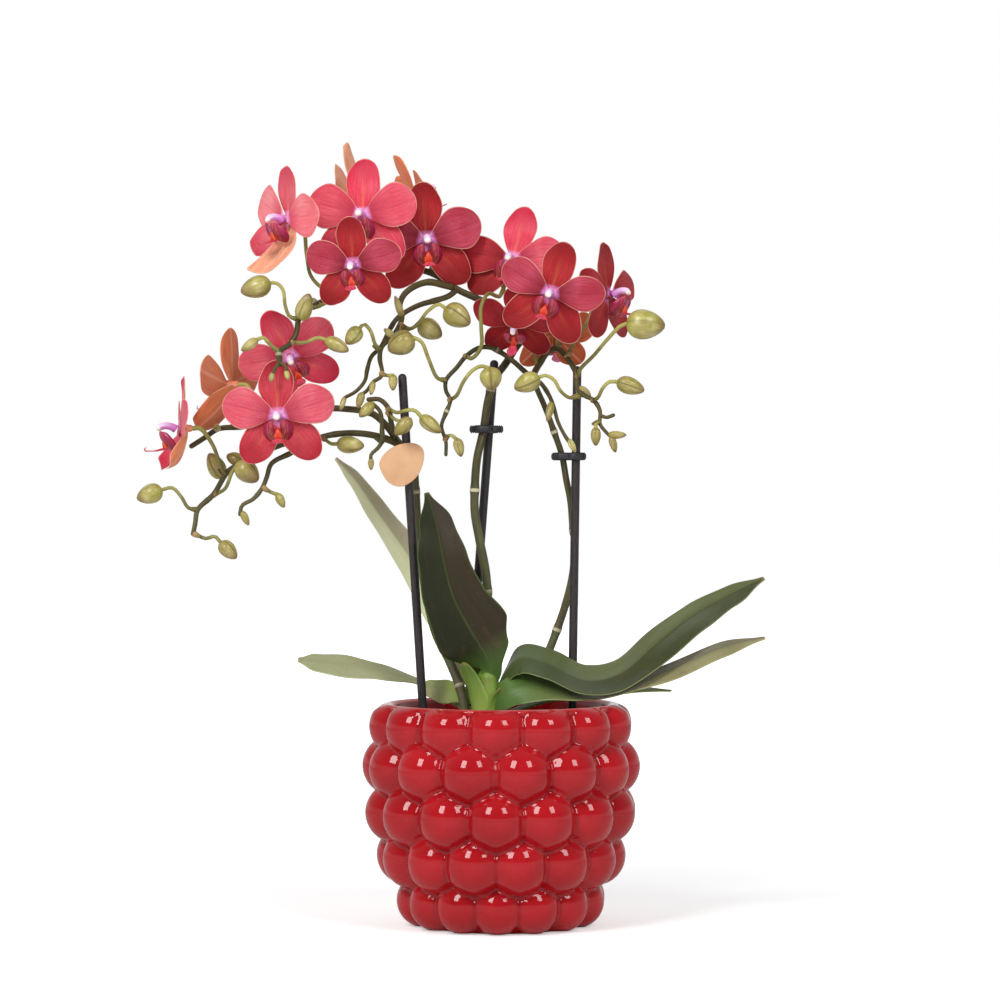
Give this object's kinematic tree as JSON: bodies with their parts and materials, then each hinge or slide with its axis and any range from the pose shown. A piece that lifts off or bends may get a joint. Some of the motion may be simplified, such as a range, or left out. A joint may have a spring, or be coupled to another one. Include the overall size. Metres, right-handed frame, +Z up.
{
  "type": "potted moth orchid",
  "caption": "Potted moth orchid: staked arching flower spikes with coral red blooms and green buds over strap leaves, in a round glazed pot with a berry relief.",
  "frame": {"origin": "centre of the flat foot of the glazed pot, on the surface it rests on", "axes": "+Z up along the pot's axis, -Y towards the front of the plant, +X to the right seen from the front"},
  "size_m": [0.2857, 0.125, 0.3598],
  "materials": {
    "glaze": "gloss",
    "clear_plastic": "gloss",
    "bark": "matte",
    "crown": "satin",
    "leaf": "satin",
    "stem": "satin",
    "petal": "satin",
    "lip": "satin",
    "stake": "matte",
    "clip": "satin",
    "tag": "matte"
  },
  "bodies": {
    "root": {"cachepot": "glaze", "nursery_pot": "clear_plastic", "bark": "bark", "crown": "crown", "leaf_upright": "leaf", "leaf_arching": "leaf", "leaf_right_front": "leaf", "leaf_right_low": "leaf", "leaf_back_left": "leaf", "leaf_short_back": "leaf", "leaf_left_low": "leaf", "spike_left": "stem", "spike_middle": "stem", "spike_right": "stem", "bloom_01": "petal", "bloom_02": "petal", "bloom_03": "petal", "bloom_04": "petal", "bloom_05": "petal", "bloom_06": "petal", "bloom_07": "petal", "bloom_08": "petal", "bloom_09": "petal", "bloom_10": "petal", "bloom_11": "petal", "bloom_12": "petal", "bloom_13": "petal", "bloom_14": "petal", "bloom_15": "petal", "bloom_16": "petal", "lip_01": "lip", "lip_02": "lip", "lip_03": "lip", "lip_04": "lip", "lip_05": "lip", "lip_06": "lip", "lip_07": "lip", "lip_08": "lip", "lip_09": "lip", "lip_10": "lip", "lip_11": "lip", "lip_12": "lip", "lip_13": "lip", "lip_14": "lip", "lip_15": "lip", "lip_16": "lip", "stake_left": "stake", "stake_middle": "stake", "stake_right": "stake", "clip_middle": "clip", "clip_right": "clip", "tag": "tag"}
  },
  "joints": []
}
